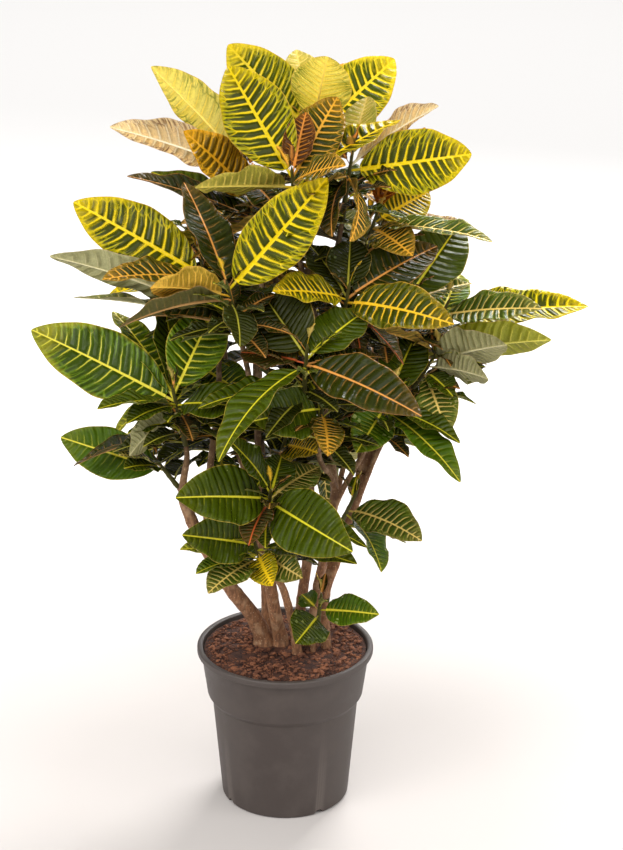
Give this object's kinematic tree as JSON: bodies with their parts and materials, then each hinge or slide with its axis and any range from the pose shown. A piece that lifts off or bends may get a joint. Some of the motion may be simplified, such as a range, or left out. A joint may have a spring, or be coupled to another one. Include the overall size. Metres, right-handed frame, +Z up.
{
  "type": "potted croton",
  "caption": "Branched croton house plant with large yellow, green and red veined leaves on bare woody stems, in a round tapered nursery pot filled with bark mix.",
  "frame": {"origin": "middle of the pot's flat underside, on the surface it stands on", "axes": "+Z up along the pot, -Y towards the pictured side, +X to the right seen from there"},
  "size_m": [0.7307, 0.5775, 1.0171],
  "materials": {
    "pot_plastic": "matte",
    "potting_mix": "rough",
    "bark": "rough",
    "leaf": "satin, waxy"
  },
  "bodies": {
    "root": {"pot": "pot_plastic", "soil": "potting_mix", "stem_left": "bark", "stem_middle": "bark", "stem_front": "bark", "stem_right": "bark", "stem_far_right": "bark", "stem_back": "bark", "stem_back_left": "bark", "stem_sucker": "bark", "shoot_top_front": "leaf", "shoot_top_back": "leaf", "shoot_top_left": "leaf", "shoot_top_right": "leaf", "shoot_upper_right": "leaf", "shoot_right_high": "leaf", "shoot_mid_left": "leaf", "shoot_outer_left": "leaf", "shoot_left": "leaf", "shoot_low_left": "leaf", "shoot_centre": "leaf", "shoot_centre_high": "leaf", "shoot_centre_low": "leaf", "shoot_inner": "leaf", "shoot_front_low": "leaf", "shoot_front_base": "leaf", "shoot_sucker": "leaf", "shoot_right": "leaf", "shoot_far_right": "leaf", "shoot_right_inner": "leaf", "shoot_low_right": "leaf", "shoot_back_high": "leaf", "shoot_back_right_high": "leaf", "shoot_back_left_high": "leaf", "shoot_back_middle": "leaf", "shoot_back_right": "leaf", "shoot_back_left": "leaf", "shoot_back_low": "leaf", "shoot_back_left_low": "leaf"}
  },
  "joints": []
}
